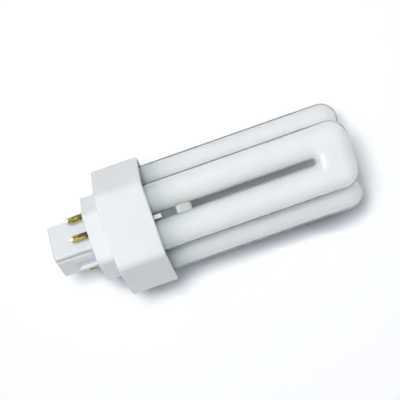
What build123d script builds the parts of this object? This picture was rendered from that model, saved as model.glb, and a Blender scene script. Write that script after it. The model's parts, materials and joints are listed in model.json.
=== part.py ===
from build123d import *
from math import asin, atan2, cos, hypot, radians, sin, sqrt
import os

os.makedirs("parts", exist_ok=True)

# Plug-in fluorescent lamp: three folded glass tubes in a collar, on a cap with four pins.
# It lies as it comes to rest, on one short side of the collar and on the two lower bends.
# Heights along the lamp are counted from the pin plane, the face that the pins stand out of.

# Glass tube, folded three times
leg_diameter = 11.6
leg_gap = 2.3
leg_flat = 0.1
fold_offset = 12.7
tube_reach = 100.0
bend_depth = 14.3
bend_corner = 6.6
foot_proud = 1.4
bridge_diameter = 4.0
bridge_height = 36.0
bridge_inset = 1.0
seal_width = 7.0
seal_thickness = 3.0
seal_length = 1.9
seal_round = 0.6

# Silicone beads between the two legs of each fold
bead_start = 33.0
bead_length = 6.0
bead_width = 4.8
bead_inset = 3.0
bead_proud = 2.5
bead_round = 1.0
bead_chamfer = 0.6

# Collar
collar_long_side = 20.3
collar_short_side = 22.0
collar_corner = 3.4
collar_height = 17.9
collar_wall = 1.1
collar_floor = 1.6
rim_round = 0.8
base_round = 0.6
rest_width = 7.0
rest_depth = 1.6

# Tube holder, a plate inside the collar with a rib for each fold
holder_thickness = 2.5
holder_recess = 3.5
rib_above_rim = 2.8
rib_inset = 4.0
rib_proud = 3.8
rib_round = 0.6

# Cement rings that hold the legs under the holder
cement_width = 0.6
cement_height = 2.0

# Cap: the step that carries the pins, and the keyed post between them
step_height = 7.0
step_long_side = 13.9
step_short_side = 14.9
step_corner = 3.2
step_round = 0.5
shoulder_width = 1.8
shoulder_height = 1.8
cap_turn = -30.0
well_width = 17.2
well_floor = 2.4
well_corner = 2.0
post_width = 14.4
post_length = 15.2
post_draft = 0.3
post_corner = 0.7
post_chamfer = 0.5
post_wall = 2.0
keyway_width = 1.8
keyway_depth = 0.8
keyway_offset = 4.4
keyway_stop = 1.4
catch_width = 5.0
catch_depth = 1.3
catch_offset = 3.2
catch_near = 1.0
catch_length = 8.6
catch_ramp = 1.6

# Contact pins
pin_diameter = 2.35
pin_length = 7.0
pin_pitch = 8.0
pin_row_spacing = 23.0
pin_tip_chamfer = 0.7
pin_neck_diameter = 1.9
pin_shank_diameter = 1.5
pin_seat_depth = 0.8
pin_inner_stand = 0.8

# Lead wires from the two seals to the pins
wire_diameter = 0.6
wire_lift = 1.3
wire_spread = 2.4

# Clearances
holder_clearance = 0.1
leg_clearance = 0.15
rib_clearance = 0.25
pin_clearance = 0.02
cap_clearance = 0.05

# Places that follow from the sizes
leg_radius = leg_diameter / 2
leg_spacing = leg_diameter + leg_gap
slot_end = tube_reach - bend_depth - leg_gap / 2
rim_height = step_height + collar_height
collar_inside = step_height + collar_floor
holder_top = rim_height - holder_recess
holder_bottom = holder_top - holder_thickness
foot_height = holder_bottom - cement_height - foot_proud
shoulder_top = collar_inside + shoulder_height
pin_top = shoulder_top + pin_inner_stand
seal_end = foot_height - seal_length
fold_angles = (90, 210, 330)

# The lamp rests on the round of its rim and on two bends, so its axis dips towards the tips.
flat_reach = leg_flat * (sqrt(3) - 1) / 2
bundle_reach = fold_offset / 2 + leg_spacing * sqrt(3) / 4 + leg_radius + flat_reach
rest_drop = collar_short_side - rim_round - bundle_reach
rest_span = tube_reach - bend_corner - rim_height + rim_round
dip = atan2(rest_drop, rest_span) + asin(rim_round / hypot(rest_drop, rest_span))
round_height = (rim_height - rim_round) * sin(dip) + (collar_short_side - rim_round) * cos(dip)
axis_height = round_height + rim_round

# The origin is on the floor, halfway between the end of the post and the tips.
post_reach = post_width / 2 * (cos(radians(cap_turn)) + sin(radians(-cap_turn)))
front_extent = tube_reach * cos(dip) + fold_offset * sin(dip)
back_extent = post_length * cos(dip) + post_reach * sin(dip)

# The lamp's own plane lies in the pin plane: X across, Y up, Z towards the tips.
lamp = Plane(
    origin=((back_extent - front_extent) / 2, 0, axis_height),
    x_dir=(0, 1, 0),
    z_dir=(cos(dip), 0, -sin(dip)),
)
lamp_axis = Axis(lamp.origin, lamp.z_dir)

# The cap's own plane is turned about the axis, as the post and the pins are.
cap_plane = Plane(
    origin=lamp.origin,
    x_dir=lamp.x_dir * cos(radians(cap_turn)) + lamp.y_dir * sin(radians(cap_turn)),
    z_dir=lamp.z_dir,
)


def turned(x, y, angle):
    """A place across the lamp, turned about its axis."""
    turn = radians(angle)
    return (x * cos(turn) - y * sin(turn), x * sin(turn) + y * cos(turn))


def cut_triangle(long_side, short_side, corner):
    """A triangle with its corners cut off by a second one, turned half a turn."""
    RegularPolygon(long_side, 3, major_radius=False, rotation=30)
    RegularPolygon(short_side, 3, major_radius=False, rotation=90, mode=Mode.INTERSECT)
    fillet(vertices(), corner)


def fold_plane(angle):
    """Middle plane of one fold: X from leg to leg, Y along the lamp, Z outwards."""
    outwards = lamp.x_dir * cos(radians(angle)) + lamp.y_dir * sin(radians(angle))
    return Plane(
        origin=lamp.origin + outwards * fold_offset,
        x_dir=lamp.z_dir.cross(outwards),
        z_dir=outwards,
    )


def leg_place(angle, side):
    """Centre of a leg across the lamp; the side is 1 or -1."""
    return turned(fold_offset, side * leg_spacing / 2, angle)


# One fold of the tube: two legs and a squared bend, with a full round all along its edge
folds = []
for angle in fold_angles:
    with BuildPart() as fold:
        with BuildSketch(fold_plane(angle)):
            with Locations((0, foot_height)):
                Rectangle(
                    leg_spacing + leg_diameter,
                    tube_reach - foot_height,
                    align=(Align.CENTER, Align.MIN),
                )
            fillet(vertices().group_by(Axis.Y)[-1], bend_corner)
            with Locations((0, foot_height)):
                Rectangle(
                    leg_gap,
                    slot_end - foot_height,
                    align=(Align.CENTER, Align.MIN),
                    mode=Mode.SUBTRACT,
                )
            with Locations((0, slot_end)):
                Circle(leg_gap / 2, mode=Mode.SUBTRACT)
        extrude(amount=leg_radius, both=True)
        feet = fold.faces().filter_by(lamp).edges()
        outline = fold.faces().filter_by(fold_plane(angle)).edges() - feet
        fillet(outline, leg_radius - leg_flat)
    folds.append(fold.part)

# Discharge tube: the folds, two bridges between them and the two wire seals, one sealed vessel
with BuildPart() as discharge_tube:
    for fold in folds:
        add(fold)
    for angle in (fold_angles[0], fold_angles[2]):
        inwards = Vector(*turned(-bridge_inset, 0, angle + 60), bridge_height)
        start = lamp.from_local_coords(Vector(*leg_place(angle, 1)) + inwards)
        end = lamp.from_local_coords(Vector(*leg_place(angle + 120, -1)) + inwards)
        with BuildSketch(Plane(origin=start, z_dir=end - start)):
            Circle(bridge_diameter / 2)
        extrude(amount=(end - start).length)
    with BuildSketch(lamp.offset(seal_end)):
        with Locations(leg_place(fold_angles[1], 1), leg_place(fold_angles[2], -1)):
            RectangleRounded(seal_width, seal_thickness, seal_round)
    extrude(amount=seal_length)
discharge_tube.part.label = "discharge_tube"
export_step(discharge_tube.part, "parts/discharge_tube.step")

# Silicone beads that tie the two legs of each fold together
for number, angle in enumerate(fold_angles, start=1):
    with BuildPart() as spacer_bead:
        with BuildSketch(fold_plane(angle).offset(-bead_inset)):
            with Locations((0, bead_start)):
                Rectangle(bead_width, bead_length, align=(Align.CENTER, Align.MIN))
            fillet(vertices(), bead_round)
        extrude(amount=bead_inset + bead_proud)
        outer_face = spacer_bead.faces().filter_by(fold_plane(angle)).sort_by(
            Axis(lamp.origin, fold_plane(angle).z_dir)
        )[-1]
        chamfer(outer_face.edges(), bead_chamfer)
        add(folds[number - 1], mode=Mode.SUBTRACT)
    spacer_bead.part.label = f"spacer_bead_{number}"
    export_step(spacer_bead.part, f"parts/spacer_bead_{number}.step")

# Collar: a hollow moulding, open towards the tubes, with three rests for the holder
with BuildPart() as collar:
    with BuildSketch(lamp.offset(step_height)):
        cut_triangle(collar_long_side, collar_short_side, collar_corner)
    extrude(amount=collar_height)
    fillet(collar.faces().sort_by(lamp_axis)[0].edges(), base_round)
    fillet(collar.faces().sort_by(lamp_axis)[-1].edges(), rim_round)
    with BuildSketch(lamp.offset(collar_inside)):
        cut_triangle(
            collar_long_side - collar_wall,
            collar_short_side - collar_wall,
            collar_corner - collar_wall,
        )
    extrude(amount=collar_height, mode=Mode.SUBTRACT)
    with BuildSketch(lamp.offset(step_height)):
        cut_triangle(
            step_long_side + cap_clearance,
            step_short_side + cap_clearance,
            step_corner + cap_clearance,
        )
    extrude(amount=collar_floor, mode=Mode.SUBTRACT)
    with BuildSketch(lamp.offset(collar_inside)):
        with PolarLocations(collar_short_side - collar_wall, 3, start_angle=30):
            Rectangle(rest_depth, rest_width, align=(Align.MAX, Align.CENTER))
    extrude(amount=holder_bottom - collar_inside)
collar.part.label = "collar"
export_step(collar.part, "parts/collar.step")

# Tube holder: the legs stand in its six holes, and a rib rises in the slot of each fold
with BuildPart() as tube_holder:
    with BuildSketch(lamp.offset(holder_bottom)):
        cut_triangle(
            collar_long_side - collar_wall - holder_clearance,
            collar_short_side - collar_wall - holder_clearance,
            collar_corner - collar_wall,
        )
        with Locations([leg_place(angle, side) for angle in fold_angles for side in (-1, 1)]):
            Circle(leg_radius + leg_clearance, mode=Mode.SUBTRACT)
    extrude(amount=holder_thickness)
    with BuildSketch(lamp.offset(holder_top)):
        with PolarLocations(fold_offset - rib_inset, 3, start_angle=fold_angles[0]):
            Rectangle(
                rib_inset + rib_proud,
                leg_gap - 2 * rib_clearance,
                align=(Align.MIN, Align.CENTER),
            )
        fillet(vertices(), rib_round)
    extrude(amount=holder_recess + rib_above_rim)
tube_holder.part.label = "tube_holder"
export_step(tube_holder.part, "parts/tube_holder.step")

# Cement rings round the legs, under the holder
for number in range(1, 7):
    angle = fold_angles[(number - 1) // 2]
    side = 1 if number % 2 else -1
    with BuildPart() as cement_ring:
        with BuildSketch(lamp.offset(holder_bottom - cement_height)):
            with Locations(leg_place(angle, side)):
                Circle(leg_radius + cement_width)
        extrude(amount=cement_height)
        add(folds[(number - 1) // 2], mode=Mode.SUBTRACT)
    cement_ring.part.label = f"cement_ring_{number}"
    export_step(cement_ring.part, f"parts/cement_ring_{number}.step")

# Cap: the step drops through the collar's floor and hangs there by its shoulder
with BuildPart() as cap:
    with BuildSketch(lamp):
        cut_triangle(step_long_side, step_short_side, step_corner)
    extrude(amount=collar_inside)
    fillet(cap.faces().sort_by(lamp_axis)[0].edges(), step_round)
    with BuildSketch(lamp.offset(collar_inside)):
        cut_triangle(
            step_long_side + shoulder_width,
            step_short_side + shoulder_width,
            step_corner + shoulder_width,
        )
    extrude(amount=shoulder_height)
    with BuildSketch(cap_plane):
        RectangleRounded(post_width, post_width, post_corner)
    extrude(amount=post_length, dir=-lamp.z_dir, taper=post_draft)
    chamfer(cap.faces().sort_by(lamp_axis)[0].edges(), post_chamfer)
    with BuildSketch(cap_plane.offset(well_floor)):
        RectangleRounded(well_width, well_width, well_corner)
    extrude(amount=shoulder_top - well_floor, mode=Mode.SUBTRACT)
    with BuildSketch(cap_plane.offset(post_wall - post_length)):
        Rectangle(post_width - 2 * post_wall, post_width - 2 * post_wall)
    extrude(amount=post_length - post_wall + well_floor, mode=Mode.SUBTRACT)
    with BuildSketch(cap_plane):
        with GridLocations(pin_pitch, pin_row_spacing, 2, 2):
            Circle(pin_shank_diameter / 2 + pin_clearance)
    extrude(amount=shoulder_top, mode=Mode.SUBTRACT)
    with BuildSketch(cap_plane):
        with GridLocations(pin_pitch, pin_row_spacing, 2, 2):
            Circle(pin_diameter / 2 + pin_clearance)
    extrude(amount=pin_seat_depth, mode=Mode.SUBTRACT)
    with BuildSketch(cap_plane.offset(-keyway_stop)):
        for side in (-1, 1):
            with Locations((side * post_width / 2, -side * keyway_offset)):
                Rectangle(2 * keyway_depth, keyway_width)
    extrude(amount=post_length, dir=-lamp.z_dir, mode=Mode.SUBTRACT)
    for side in (-1, 1):
        catch_plane = Plane(
            origin=cap_plane.from_local_coords((0, side * catch_offset, -catch_near)),
            x_dir=side * cap_plane.x_dir,
            z_dir=side * cap_plane.y_dir,
        )
        with BuildSketch(catch_plane):
            with BuildLine():
                Polyline(
                    (post_width / 2 - catch_depth, 0),
                    (post_width / 2 - catch_depth, catch_length - catch_ramp),
                    (post_width / 2, catch_length),
                    (post_width / 2, 0),
                    close=True,
                )
            make_face()
        extrude(amount=catch_width / 2, both=True, mode=Mode.SUBTRACT)
cap.part.label = "cap"
export_step(cap.part, "parts/cap.step")

# Contact pins: each has a neck that seats in a counterbore, and a shank through the step
pin_places = [(pin_pitch / 2, pin_row_spacing / 2), (-pin_pitch / 2, pin_row_spacing / 2)]
pin_places += [(-x, -y) for x, y in pin_places]
for number, place in enumerate(pin_places, start=1):
    with BuildPart() as contact_pin:
        with BuildSketch(cap_plane.offset(-pin_length)):
            with Locations(place):
                Circle(pin_diameter / 2)
        extrude(amount=pin_length)
        chamfer(contact_pin.edges().sort_by(lamp_axis)[0], pin_tip_chamfer)
        with BuildSketch(cap_plane):
            with Locations(place):
                Circle(pin_neck_diameter / 2)
        extrude(amount=pin_seat_depth)
        with BuildSketch(cap_plane.offset(pin_seat_depth)):
            with Locations(place):
                Circle(pin_shank_diameter / 2)
        extrude(amount=pin_top - pin_seat_depth)
    contact_pin.part.label = f"contact_pin_{number}"
    export_step(contact_pin.part, f"parts/contact_pin_{number}.step")

# Lead wires: up from the pin, across under the feet of the legs, and up into the seal
wire_legs = (leg_place(fold_angles[2], -1), leg_place(fold_angles[1], 1))
wire_sides = (1, -1, -1, 1)
for number, place in enumerate(pin_places, start=1):
    pin_x, pin_y = turned(*place, cap_turn)
    seal_x, seal_y = wire_legs[(number - 1) // 2]
    seal_x += wire_sides[number - 1] * wire_spread / 2
    run_height = pin_top + wire_lift
    with BuildPart() as lead_wire:
        with BuildLine(lamp) as route:
            Polyline(
                (pin_x, pin_y, pin_top),
                (pin_x, pin_y, run_height),
                (seal_x, seal_y, run_height),
                (seal_x, seal_y, seal_end),
            )
        with BuildSketch(Plane(origin=route.line @ 0, z_dir=route.line % 0)):
            Circle(wire_diameter / 2)
        sweep(transition=Transition.RIGHT)
    lead_wire.part.label = f"lead_wire_{number}"
    export_step(lead_wire.part, f"parts/lead_wire_{number}.step")
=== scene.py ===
import json
from math import cos, sin

import bpy
import numpy as np
from mathutils import Matrix, Vector


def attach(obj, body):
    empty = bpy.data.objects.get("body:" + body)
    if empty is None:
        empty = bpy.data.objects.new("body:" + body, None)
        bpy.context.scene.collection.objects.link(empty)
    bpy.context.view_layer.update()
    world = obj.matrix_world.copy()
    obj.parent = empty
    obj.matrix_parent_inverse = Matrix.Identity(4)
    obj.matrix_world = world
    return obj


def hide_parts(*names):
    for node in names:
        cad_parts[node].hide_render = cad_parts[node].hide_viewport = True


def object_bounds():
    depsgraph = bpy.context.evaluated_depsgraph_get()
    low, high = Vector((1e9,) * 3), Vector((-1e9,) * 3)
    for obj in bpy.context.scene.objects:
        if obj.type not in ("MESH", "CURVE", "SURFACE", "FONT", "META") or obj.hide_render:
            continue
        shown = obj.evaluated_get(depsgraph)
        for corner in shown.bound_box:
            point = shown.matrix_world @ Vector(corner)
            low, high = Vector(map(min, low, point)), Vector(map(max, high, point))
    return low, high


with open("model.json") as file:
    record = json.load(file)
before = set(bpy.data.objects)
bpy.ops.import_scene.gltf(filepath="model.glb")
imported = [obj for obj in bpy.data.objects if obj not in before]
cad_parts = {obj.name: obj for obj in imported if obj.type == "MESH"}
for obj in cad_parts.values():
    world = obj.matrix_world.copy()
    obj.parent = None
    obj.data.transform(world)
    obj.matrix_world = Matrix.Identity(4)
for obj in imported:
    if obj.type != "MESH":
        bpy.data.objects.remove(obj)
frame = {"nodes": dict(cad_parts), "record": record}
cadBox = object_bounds()
record = frame["record"]
nodes = frame["nodes"]
print("stage: frame loaded")


# The lamp's own directions, read from its pins: h runs from the plane where the pins leave
# the step to the tips of the tubes, side is the shared frame's +Y, and up is square to both.
mm = 0.001
mounts = {m["name"]: m for m in record["mounts"]}
pinMounts = [mounts[f"pin_{n}"] for n in (1, 2, 3, 4)]
alongAxis = -np.array(pinMounts[0]["axis"], float)
sideAxis = np.array((0.0, 1.0, 0.0))
upAxis = np.cross(alongAxis, sideAxis)
lampAxes = np.column_stack((alongAxis, sideAxis, upAxis))
pinLength = pinMounts[0]["dims"]["length_mm"] * mm
lampOrigin = np.mean([m["pos_m"] for m in pinMounts], axis=0) + alongAxis * pinLength / 2


def toFrame(h, side, up):
    # place = origin + h along the lamp + side across it + up, all given in millimetres
    h, side, up = np.broadcast_arrays(h, side, up)
    steps = h[..., None] * alongAxis + side[..., None] * sideAxis + up[..., None] * upAxis
    return lampOrigin + mm * steps


def lampPlaces(node):
    # the node's vertices as h, side and up, in millimetres
    places = np.empty(len(node.data.vertices) * 3)
    node.data.vertices.foreach_get("co", places)
    return (places.reshape(-1, 3) - lampOrigin) @ lampAxes / mm


# Mesh from a grid of points: rows run along v, the seam between columns is closed, and so
# are both ends, each by a fan round one pole.
def closedTube(name, grid, firstPole, lastPole):
    rows, columns = grid.shape[:2]
    points = np.vstack((grid.reshape(-1, 3), firstPole, lastPole))
    around = np.arange(columns)
    after = (around + 1) % columns
    start = columns * np.arange(rows - 1)[:, None]
    end = start + columns
    quads = np.stack((start + around, start + after, end + after, end + around), axis=-1)
    lastRow = (rows - 1) * columns
    firstFan = np.stack((after, around, np.full(columns, rows * columns)), axis=-1)
    lastFan = np.stack((lastRow + around, lastRow + after, np.full(columns, rows * columns + 1)), axis=-1)
    faces = quads.reshape(-1, 4).tolist() + firstFan.tolist() + lastFan.tolist()
    mesh = bpy.data.meshes.new(name)
    mesh.from_pydata(points.tolist(), [], faces)
    mesh.validate()
    mesh.polygons.foreach_set("use_smooth", np.ones(len(mesh.polygons), bool))
    mesh.update()
    piece = bpy.data.objects.new(name, mesh)
    bpy.context.scene.collection.objects.link(piece)
    return piece


# Shader helpers
def newMaterial(name, settings):
    material = bpy.data.materials.new(name)
    material.use_nodes = True
    tree = material.node_tree
    shader = tree.nodes["Principled BSDF"]
    for socket, value in settings.items():
        shader.inputs[socket].default_value = value
    return material, tree, shader


def maths(tree, operation, *values):
    node = tree.nodes.new("ShaderNodeMath")
    node.operation = operation
    for socket, value in zip(node.inputs, values):
        if isinstance(value, float):
            socket.default_value = value
        else:
            tree.links.new(value, socket)
    return node.outputs["Value"]


def fixedVector(tree, values):
    vector = tree.nodes.new("ShaderNodeCombineXYZ")
    for axis, value in zip("XYZ", values):
        vector.inputs[axis].default_value = float(value)
    return vector.outputs["Vector"]


def shareBetween(tree, value, start, end):
    # 0 at the start and before it, 1 at the end and past it, and even in between
    share = tree.nodes.new("ShaderNodeMapRange")
    share.inputs["From Min"].default_value = start
    share.inputs["From Max"].default_value = end
    tree.links.new(value, share.inputs["Value"])
    return share.outputs["Result"]


def greys(stops):
    return [(place, (level,) * 3) for place, level in stops]


def rampBetween(tree, factor, stops):
    ramp = tree.nodes.new("ShaderNodeValToRGB")
    elements = ramp.color_ramp.elements
    while len(elements) < len(stops):
        elements.new(0.5)
    for element, (place, colour) in zip(elements, stops):
        element.position = place
        element.color = (*colour, 1)
    tree.links.new(factor, ramp.inputs["Fac"])
    return ramp.outputs["Color"]


def mixColours(tree, factor, first, second, blend="MIX"):
    mix = tree.nodes.new("ShaderNodeMix")
    mix.data_type = "RGBA"
    mix.blend_type = blend
    if isinstance(factor, float):
        mix.inputs["Factor"].default_value = factor
    else:
        tree.links.new(factor, mix.inputs["Factor"])
    for value, socket in ((first, mix.inputs[6]), (second, mix.inputs[7])):  # its two colours
        if isinstance(value, tuple):
            socket.default_value = (*value, 1)
        else:
            tree.links.new(value, socket)
    return mix.outputs[2]  # the mixed colour


def mixShaders(tree, factor, first, second):
    # the surface is the first shader where the factor is 0 and the second where it is 1
    blend = tree.nodes.new("ShaderNodeMixShader")
    tree.links.new(factor, blend.inputs["Fac"])
    tree.links.new(first.outputs["BSDF"], blend.inputs[1])
    tree.links.new(second.outputs["BSDF"], blend.inputs[2])
    tree.links.new(blend.outputs["Shader"], tree.nodes["Material Output"].inputs["Surface"])


def speckle(tree, scale, detail=3.0, stretch=(1, 1, 1)):
    place = tree.nodes.new("ShaderNodeTexCoord")
    mapping = tree.nodes.new("ShaderNodeMapping")
    mapping.inputs["Scale"].default_value = stretch
    noise = tree.nodes.new("ShaderNodeTexNoise")
    noise.inputs["Scale"].default_value = scale
    noise.inputs["Detail"].default_value = detail
    tree.links.new(place.outputs["Object"], mapping.inputs["Vector"])
    tree.links.new(mapping.outputs["Vector"], noise.inputs["Vector"])
    return noise.outputs["Fac"]


mottleRange = (0.35, 0.65)  # the levels of the noise at which a mottle is dark and light


def mottled(tree, scale, dark, light):
    return rampBetween(tree, speckle(tree, scale), list(zip(mottleRange, (dark, light))))


def addBump(tree, shader, height, strength, distance, edge=0.0):
    bump = tree.nodes.new("ShaderNodeBump")
    if edge:  # sharp edges shade as if rounded to this radius
        rounding = tree.nodes.new("ShaderNodeBevel")
        rounding.samples = 6
        rounding.inputs["Radius"].default_value = edge
        tree.links.new(rounding.outputs["Normal"], bump.inputs["Normal"])
    bump.inputs["Strength"].default_value = strength
    bump.inputs["Distance"].default_value = distance
    tree.links.new(height, bump.inputs["Height"])
    tree.links.new(bump.outputs["Normal"], shader.inputs["Normal"])


# Distance along one of the lamp's axes, in metres from the origin of Object coordinates
def placeAlong(tree, axis):
    place = tree.nodes.new("ShaderNodeTexCoord")
    dot = tree.nodes.new("ShaderNodeVectorMath")
    dot.operation = "DOT_PRODUCT"
    dot.inputs[1].default_value = tuple(axis)
    tree.links.new(place.outputs["Object"], dot.inputs[0])
    return dot.outputs["Value"]


# Grey level along the lamp: its stops are laid over the span between two heights
def fadeAlong(tree, span, stops):
    base = float(lampOrigin @ alongAxis)
    share = shareBetween(tree, placeAlong(tree, alongAxis), base + span[0] * mm, base + span[1] * mm)
    return rampBetween(tree, share, greys(stops))


# 1 in the middle plane of each fold and 0 halfway between two: the cosine of three times the
# angle about the lamp's axis, brought to between 0 and 1
def threefold(tree):
    parts = []
    for axis in (sideAxis, upAxis):
        parts.append(maths(tree, "SUBTRACT", placeAlong(tree, axis), float(lampOrigin @ axis)))
    angle = maths(tree, "ARCTAN2", *parts)
    wave = maths(tree, "COSINE", maths(tree, "MULTIPLY", angle, 3.0))
    return maths(tree, "MULTIPLY_ADD", wave, 0.5, 0.5)


# Cosine between the line of sight and the surface's normal, or a fixed direction where one
# is given
def sightCosine(tree, direction=None):
    weight = tree.nodes.new("ShaderNodeLayerWeight")
    if direction is not None:
        tree.links.new(fixedVector(tree, direction), weight.inputs["Normal"])
    return maths(tree, "SUBTRACT", 1.0, weight.outputs["Facing"])


# How far out across the tube the line of sight meets it: 0 at its middle, 1 at its edge. The
# cosine to the normal is divided by the part of the sight that lies square to the lamp, so
# that a tube seen from its end keeps a thin wall.
def wallShare(tree):
    leastSight = 0.05  # keeps the division sound where the sight runs straight along the lamp
    endOn = sightCosine(tree, alongAxis)
    square = maths(tree, "SQRT", maths(tree, "SUBTRACT", 1.0, maths(tree, "MULTIPLY", endOn, endOn)))
    ratio = maths(tree, "DIVIDE", sightCosine(tree), maths(tree, "MAXIMUM", square, leastSight))
    return maths(tree, "SUBTRACT", 1.0, maths(tree, "MINIMUM", ratio, 1.0))


# Coated glass: white powder behind clear glass. The powder lets light wander, a painted shade
# makes it greyer where the tube enters the collar, and the bare wall shows as a dark rim along
# each edge, fainter at the tips and beside the slots. Spans are heights in millimetres.
glassFinish = {
    "shader": {"Roughness": 0.45, "IOR": 1.50, "Coat Weight": 0.6, "Coat Roughness": 0.07, "Coat IOR": 1.5,
               "Subsurface Weight": 1.0, "Subsurface Scale": 0.014, "Subsurface Radius": (1.0, 1.0, 1.0)},
    "white": (0.805, 0.835, 0.855),
    "thin": (0.78, 0.815, 0.835),
    "cloudScale": 90.0,
    # painted shade: greyer and greener where the tube enters the collar
    "footShade": (0.47, 0.54, 0.53),
    "footShadeSpan": (25.0, 45.0),
    "footShadeFade": [(0.0, 1.0), (0.18, 0.78), (0.36, 0.36), (0.6, 0.12), (1.0, 0.0)],
    "waveScale": 160.0,
    "waveDetail": 1.0,
    "waveStrength": 0.08,
    "waveHeight": 0.0002,
    "rim": [(0.54, 0.0), (0.62, 0.95), (0.76, 0.95), (0.86, 0.30)],
    "rimColour": (0.20, 0.225, 0.235),
    "rimRoughness": 0.12,
    "rimSpan": (84.0, 94.0),
    "rimFade": [(0.0, 1.0), (1.0, 0.5)],
    "slotFade": [(0.60, 1.0), (0.85, 0.15)],
}


def makeCoatedGlass():
    finish = glassFinish
    material, tree, shader = newMaterial("coatedGlass", finish["shader"])
    cloud = mottled(tree, finish["cloudScale"], finish["thin"], finish["white"])
    # painted shade by the collar, mixed into the powder's colour
    footShade = fadeAlong(tree, finish["footShadeSpan"], finish["footShadeFade"])
    tree.links.new(mixColours(tree, footShade, cloud, finish["footShade"]), shader.inputs["Base Color"])
    wave = speckle(tree, finish["waveScale"], finish["waveDetail"])
    addBump(tree, shader, wave, finish["waveStrength"], finish["waveHeight"])
    wall = tree.nodes.new("ShaderNodeBsdfGlossy")
    wall.inputs["Color"].default_value = (*finish["rimColour"], 1)
    wall.inputs["Roughness"].default_value = finish["rimRoughness"]
    rim = rampBetween(tree, wallShare(tree), greys(finish["rim"]))
    byHeight = fadeAlong(tree, finish["rimSpan"], finish["rimFade"])
    bySlot = rampBetween(tree, threefold(tree), greys(finish["slotFade"]))
    fade = mixColours(tree, 1.0, byHeight, bySlot, "MULTIPLY")
    mixShaders(tree, mixColours(tree, 1.0, rim, fade, "MULTIPLY"), shader, wall)
    return material


# Moulded plastics, the beads' cloudy silicone, the cement and the plated wire: a slight
# mottle under a fine grain
grainedFinish = {
    "collarPlastic": {
        "shader": {"Roughness": 0.38, "IOR": 1.49},
        "light": (0.805, 0.835, 0.845), "dark": (0.775, 0.81, 0.82), "mottle": 55.0,
        "grain": 2600.0, "detail": 4.0, "strength": 0.10, "height": 0.00004, "edge": 0.0005,
    },
    "capPlastic": {
        "shader": {"Roughness": 0.40, "IOR": 1.49},
        "light": (0.81, 0.835, 0.865), "dark": (0.78, 0.81, 0.84), "mottle": 55.0,
        "grain": 2600.0, "detail": 4.0, "strength": 0.08, "height": 0.00004, "edge": 0.0010,
    },
    "holderPlastic": {
        "shader": {"Roughness": 0.55, "IOR": 1.49},
        "light": (0.72, 0.75, 0.74), "dark": (0.68, 0.71, 0.70), "mottle": 55.0,
        "grain": 2200.0, "detail": 4.0, "strength": 0.16, "height": 0.00004, "edge": 0.0003,
    },
    "silicone": {
        "shader": {"Roughness": 0.24},
        "light": (0.57, 0.61, 0.59), "dark": (0.50, 0.54, 0.52), "mottle": 260.0,
        "grain": 1040.0, "detail": 3.0, "strength": 0.10, "height": 0.00005, "edge": 0.0,
    },
    "cement": {
        "shader": {"Roughness": 0.90},
        "light": (0.60, 0.57, 0.49), "dark": (0.46, 0.43, 0.36), "mottle": 500.0,
        "grain": 2000.0, "detail": 3.0, "strength": 0.60, "height": 0.00005, "edge": 0.0,
    },
    "wireMetal": {
        "shader": {"Roughness": 0.35, "Metallic": 1.0},
        "light": (0.62, 0.62, 0.60), "dark": (0.52, 0.52, 0.50), "mottle": 300.0,
        "grain": 1200.0, "detail": 3.0, "strength": 0.10, "height": 0.00005, "edge": 0.0,
    },
}


def makeGrained(name):
    finish = grainedFinish[name]
    material, tree, shader = newMaterial(name, finish["shader"])
    colour = mottled(tree, finish["mottle"], finish["dark"], finish["light"])
    tree.links.new(colour, shader.inputs["Base Color"])
    grain = speckle(tree, finish["grain"], finish["detail"])
    addBump(tree, shader, grain, finish["strength"], finish["height"], finish["edge"])
    return material


# Brass of the pins: drawn along the pin and a little tarnished, with a painted highlight that
# makes it paler at the tip over a span of heights in millimetres
brassFinish = {
    "shader": {"Metallic": 1.0, "Roughness": 0.24},
    "bright": (0.62, 0.50, 0.15),
    "tarnish": (0.12, 0.10, 0.035),
    "stainScale": 700.0,
    "stainDetail": 4.0,
    "stainStretch": (0.35, 1, 1),
    "stainRange": (0.44, 0.60),
    # painted highlight: paler towards the pin's tip
    "tipHighlight": (0.93, 0.90, 0.76),
    "tipHighlightSpan": (-7.1, -5.9),
    "tipHighlightFade": [(0.2, 0.9), (1.0, 0.0)],
    "drawScale": 1500.0,
    "drawDetail": 2.0,
    "drawStretch": (0.15, 1, 1),
    "drawStrength": 0.25,
    "drawHeight": 0.00003,
}


def makeBrass():
    finish = brassFinish
    material, tree, shader = newMaterial("pinBrass", finish["shader"])
    blotches = speckle(tree, finish["stainScale"], finish["stainDetail"], finish["stainStretch"])
    stops = list(zip(finish["stainRange"], (finish["tarnish"], finish["bright"])))
    stain = rampBetween(tree, blotches, stops)
    # painted highlight at the tip
    tipHighlight = fadeAlong(tree, finish["tipHighlightSpan"], finish["tipHighlightFade"])
    tree.links.new(mixColours(tree, tipHighlight, stain, finish["tipHighlight"]), shader.inputs["Base Color"])
    drawn = speckle(tree, finish["drawScale"], finish["drawDetail"], finish["drawStretch"])
    addBump(tree, shader, drawn, finish["drawStrength"], finish["drawHeight"])
    return material


finishes = {
    "coated_glass": makeCoatedGlass(),
    "collar_plastic": makeGrained("collarPlastic"),
    "cap_plastic": makeGrained("capPlastic"),
    "holder_plastic": makeGrained("holderPlastic"),
    "pin_brass": makeBrass(),
    "silicone": makeGrained("silicone"),
    "cement": makeGrained("cement"),
    "wire_metal": makeGrained("wireMetal"),
}
slotOf = {s["node"]: s["material_slot"] for s in record["subparts"]}
for name, node in nodes.items():
    node.data.materials.clear()
    node.data.materials.append(finishes[slotOf[name]])
print("stage: finishes made")


# Beads of silicone in the slots: soft, domed, and a little higher at the end by the cap
beadShape = {
    "width": 4.3,
    "squareness": 0.40,
    "doming": 0.62,
    "lip": 0.5,
    "steps": 24,
    "columns": 48,
}


def power(value, exponent):
    return np.sign(value) * np.abs(value) ** exponent


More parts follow.
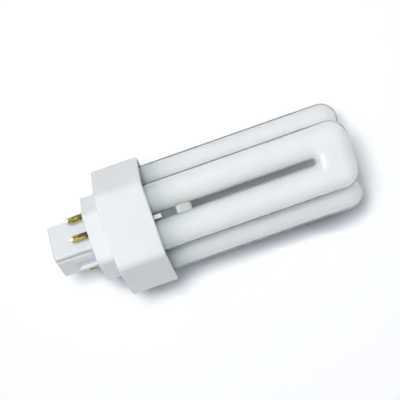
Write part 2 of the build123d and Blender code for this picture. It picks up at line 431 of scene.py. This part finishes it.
def makeBead(number):
    # superellipsoid: half its length times cos(v)^doming cos(u)^squareness along the lamp,
    # half its width times cos(v)^doming sin(u)^squareness across the fold, and half its
    # depth times sin(v)^doming outwards, each power keeping its sign. Its outer side falls
    # evenly by the lip from the cap's end to the other.
    shape = beadShape
    places = lampPlaces(nodes[f"spacer_bead_{number}"])
    angle = np.arctan2(places[:, 2].mean(), places[:, 1].mean())
    reach = places[:, 1] * cos(angle) + places[:, 2] * sin(angle)
    low, high = places[:, 0].min(), places[:, 0].max()
    inner, outer = reach.min(), reach.max()
    v = np.linspace(-np.pi / 2, np.pi / 2, shape["steps"] + 2)[:, None]
    u = np.linspace(0, 2 * np.pi, shape["columns"], endpoint=False)
    girth = power(np.cos(v), shape["doming"])
    along = (high - low) / 2 * girth * power(np.cos(u), shape["squareness"])
    across = shape["width"] / 2 * girth * power(np.sin(u), shape["squareness"])
    dome = (inner + outer) / 2 + (outer - inner) / 2 * power(np.sin(v), shape["doming"])
    out = dome - shape["lip"] * (along / (high - low) + 0.5) * np.clip(np.sin(v), 0, 1)
    side = out * cos(angle) + across * sin(angle)
    up = out * sin(angle) - across * cos(angle)
    grid = toFrame((low + high) / 2 + along, side, up)
    return closedTube(f"bead_{number}", grid[1:-1], grid[0].mean(axis=0), grid[-1].mean(axis=0))


for number in (1, 2, 3):
    bead = makeBead(number)
    bead.data.materials.append(finishes["silicone"])
    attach(bead, "root")
    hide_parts(f"spacer_bead_{number}")
print("stage: beads made")


# Contact pins: a drawn rod with a round-shouldered, tapered tip. Tip and middle are heights
# below the plane where the pins leave the step, and inner is one above it.
pinShape = {
    "radius": pinMounts[0]["dims"]["r_mm"],
    "tip": 7.0,
    "taper": 1.9,
    "tipRadius": 0.34,
    "middle": 2.0,
    "inner": 0.8,
    "steps": 18,
    "columns": 40,
}


def makePin(number):
    # radius at height h: constant along the rod, then an elliptic quarter from the rod's
    # radius to the tip's over the taper, and the grid is that profile turned about the pin
    shape = pinShape
    centre = np.array(mounts[f"pin_{number}"]["pos_m"]) - lampOrigin
    side, up = centre @ sideAxis / mm, centre @ upAxis / mm
    turn = np.linspace(0, np.pi / 2, shape["steps"])
    tipHeights = -shape["tip"] + shape["taper"] * (1 - np.sin(turn))[::-1]
    tipRadii = shape["tipRadius"] + (shape["radius"] - shape["tipRadius"]) * np.cos(turn)[::-1]
    heights = np.concatenate((tipHeights, (-shape["middle"], shape["inner"])))
    radii = np.concatenate((tipRadii, (shape["radius"], shape["radius"])))
    angles = np.linspace(0, 2 * np.pi, shape["columns"], endpoint=False)
    sides = side + radii[:, None] * np.cos(angles)
    ups = up + radii[:, None] * np.sin(angles)
    grid = toFrame(heights[:, None], sides, ups)
    return closedTube(f"pin_{number}", grid, toFrame(heights[0], side, up), toFrame(heights[-1], side, up))


for number in (1, 2, 3, 4):
    pin = makePin(number)
    pin.data.materials.append(finishes["pin_brass"])
    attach(pin, "root")
    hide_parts(f"contact_pin_{number}")
print("stage: pins made")


# 1 where a ray comes from the eye, also by way of a mirror or through glass, and 0 where it
# only lights
def lookedAt(tree):
    rays = tree.nodes.new("ShaderNodeLightPath")
    mirrored = maths(tree, "MAXIMUM", rays.outputs["Is Glossy Ray"], rays.outputs["Is Transmission Ray"])
    return maths(tree, "MAXIMUM", rays.outputs["Is Camera Ray"], mirrored)


# Floor: plain and pale. To the eye, and in what mirrors it, its paper is brighter than
# white, so that it clears to white round the lamp and still keeps the shadow. The shadow
# deepens close to the lamp, by occlusion that leans one way. Size, reach and edge are in
# metres, and the span is in millimetres along the lamp.
floorLook = {
    "size": 3.0,
    "shader": {"Base Color": (0.86, 0.87, 0.89, 1), "Roughness": 0.9, "Specular IOR Level": 0.1},
    "seen": (1.07, 1.08, 1.10),
    "lean": (0.30, 0.62, 0.725),
    "reach": 0.017,
    "shade": [(0.30, (0.24, 0.26, 0.30)), (0.58, (0.50, 0.52, 0.57)), (0.74, (0.70, 0.72, 0.75)),
              (0.84, (0.92, 0.93, 0.95)), (0.90, (1.0, 1.0, 1.0))],
    # painted light: the paper's colour in the strip under the lamp
    "lit": (3.20, 3.23, 3.32),
    "litEdge": (0.010, 0.006),
    "litSpan": (20.0, 100.0),
    "litFade": [(0.0, 0.0), (0.05, 1.0), (0.16, 1.0), (0.22, 0.52), (0.84, 0.52), (0.88, 0.0)],
}


# Painted light under the middle of the lamp, standing for what the tubes let through: a
# brighter paper colour in a strip along it, more by the collar, where the floor lies deepest in shadow
def paintedLightUnder(tree):
    across = maths(tree, "ABSOLUTE", placeAlong(tree, sideAxis))
    strip = shareBetween(tree, across, *floorLook["litEdge"])
    return maths(tree, "MULTIPLY", fadeAlong(tree, floorLook["litSpan"], floorLook["litFade"]), strip)


def makePaper():
    material, tree, shader = newMaterial("floorPaper", floorLook["shader"])
    near = tree.nodes.new("ShaderNodeAmbientOcclusion")
    near.inputs["Distance"].default_value = floorLook["reach"]
    tree.links.new(fixedVector(tree, floorLook["lean"]), near.inputs["Normal"])
    shade = rampBetween(tree, near.outputs["AO"], floorLook["shade"])
    shaded = mixColours(tree, 1.0, floorLook["seen"], shade, "MULTIPLY")
    paper = tree.nodes.new("ShaderNodeBsdfDiffuse")
    tree.links.new(mixColours(tree, paintedLightUnder(tree), shaded, floorLook["lit"]), paper.inputs["Color"])
    mixShaders(tree, lookedAt(tree), shader, paper)
    return material


def makeFloor():
    low = float(cadBox[0].z)
    half = floorLook["size"] / 2
    corners = [(-half, -half, low), (half, -half, low), (half, half, low), (-half, half, low)]
    mesh = bpy.data.meshes.new("floor")
    mesh.from_pydata(corners, [], [(0, 1, 2, 3)])
    mesh.materials.append(makePaper())
    floor = bpy.data.objects.new("floor", mesh)
    bpy.context.scene.collection.objects.link(floor)


makeFloor()


# Lights: a key above, a little up and to the left of the picture, for the shadow, a wide soft
# one, and a card to the left that only the gloss mirrors. Places and sizes are in metres.
lightPlan = {
    "key": {"place": (-0.03, 0.108, 0.70), "breadth": 0.20, "height": 0.20, "power": 2.75,
            "lights": True, "mirrored": False},
    "soft": {"place": (0.02, 0.03, 0.72), "breadth": 0.80, "height": 0.80, "power": 0.6,
             "lights": True, "mirrored": True},
    "card": {"place": (-0.46, 0.10, 0.46), "breadth": 0.70, "height": 0.32, "power": 5.6,
             "lights": False, "mirrored": True},
}
lightTarget = Vector((0, 0, 0.02))  # about the middle of the object


def addLight(name):
    plan = lightPlan[name]
    light = bpy.data.lights.new(name, "AREA")
    light.shape = "RECTANGLE"
    light.size = plan["breadth"]
    light.size_y = plan["height"]
    light.energy = plan["power"]
    holder = bpy.data.objects.new(name, light)
    holder.location = plan["place"]
    holder.rotation_mode = "QUATERNION"
    holder.rotation_quaternion = (lightTarget - Vector(plan["place"])).to_track_quat("-Z", "Y")
    holder.visible_diffuse = plan["lights"]
    holder.visible_glossy = plan["mirrored"]
    bpy.context.scene.collection.objects.link(holder)


for name in lightPlan:
    addLight(name)


# Room: it looks white, and lights at a strength of its own
roomLook = {"colour": (0.95, 0.965, 0.985), "strength": 0.34}


def makeRoom():
    room = bpy.data.worlds.new("room")
    room.use_nodes = True
    tree = room.node_tree
    backdrop = tree.nodes["Background"]
    backdrop.inputs["Color"].default_value = (*roomLook["colour"], 1)
    lighting = roomLook["strength"]
    strength = maths(tree, "MULTIPLY_ADD", lookedAt(tree), 1.0 - lighting, lighting)
    tree.links.new(strength, backdrop.inputs["Strength"])
    return room


bpy.context.scene.world = makeRoom()
bpy.context.scene.view_settings.view_transform = "Standard"


# Camera: nearly straight above, turned so that the lamp rises to the right. It looks at a
# place given along and across the lamp. Lengths are in millimetres, angles in radians.
viewpoint = {
    "distance": 432.72,
    "pitch": 0.037,
    "roll": -0.026,
    "turn": 0.335,
    "look": (41.894, 0.923),
    "lens": 105.1,
    "sensor": 36.0,
    "clipStart": 10.0,
}


def addCamera():
    # pitched about the lamp's side, rolled about its axis, then turned about the line of sight
    pitch = Matrix.Rotation(viewpoint["pitch"], 3, "Y")
    roll = Matrix.Rotation(-viewpoint["roll"], 3, "X")
    turn = Matrix.Rotation(-viewpoint["turn"], 3, "Z")
    axes = Matrix(lampAxes.tolist()) @ pitch @ roll @ turn
    place = Vector(toFrame(*viewpoint["look"], 0.0)) + viewpoint["distance"] * mm * axes.col[2]
    lens = bpy.data.cameras.new("camera")
    lens.sensor_width = viewpoint["sensor"]
    lens.lens = viewpoint["lens"]
    lens.clip_start = viewpoint["clipStart"] * mm
    camera = bpy.data.objects.new("camera", lens)
    camera.matrix_world = Matrix.Translation(place) @ axes.to_4x4()
    bpy.context.scene.collection.objects.link(camera)
    bpy.context.scene.camera = camera


addCamera()
print("stage: floor, lights and camera set")
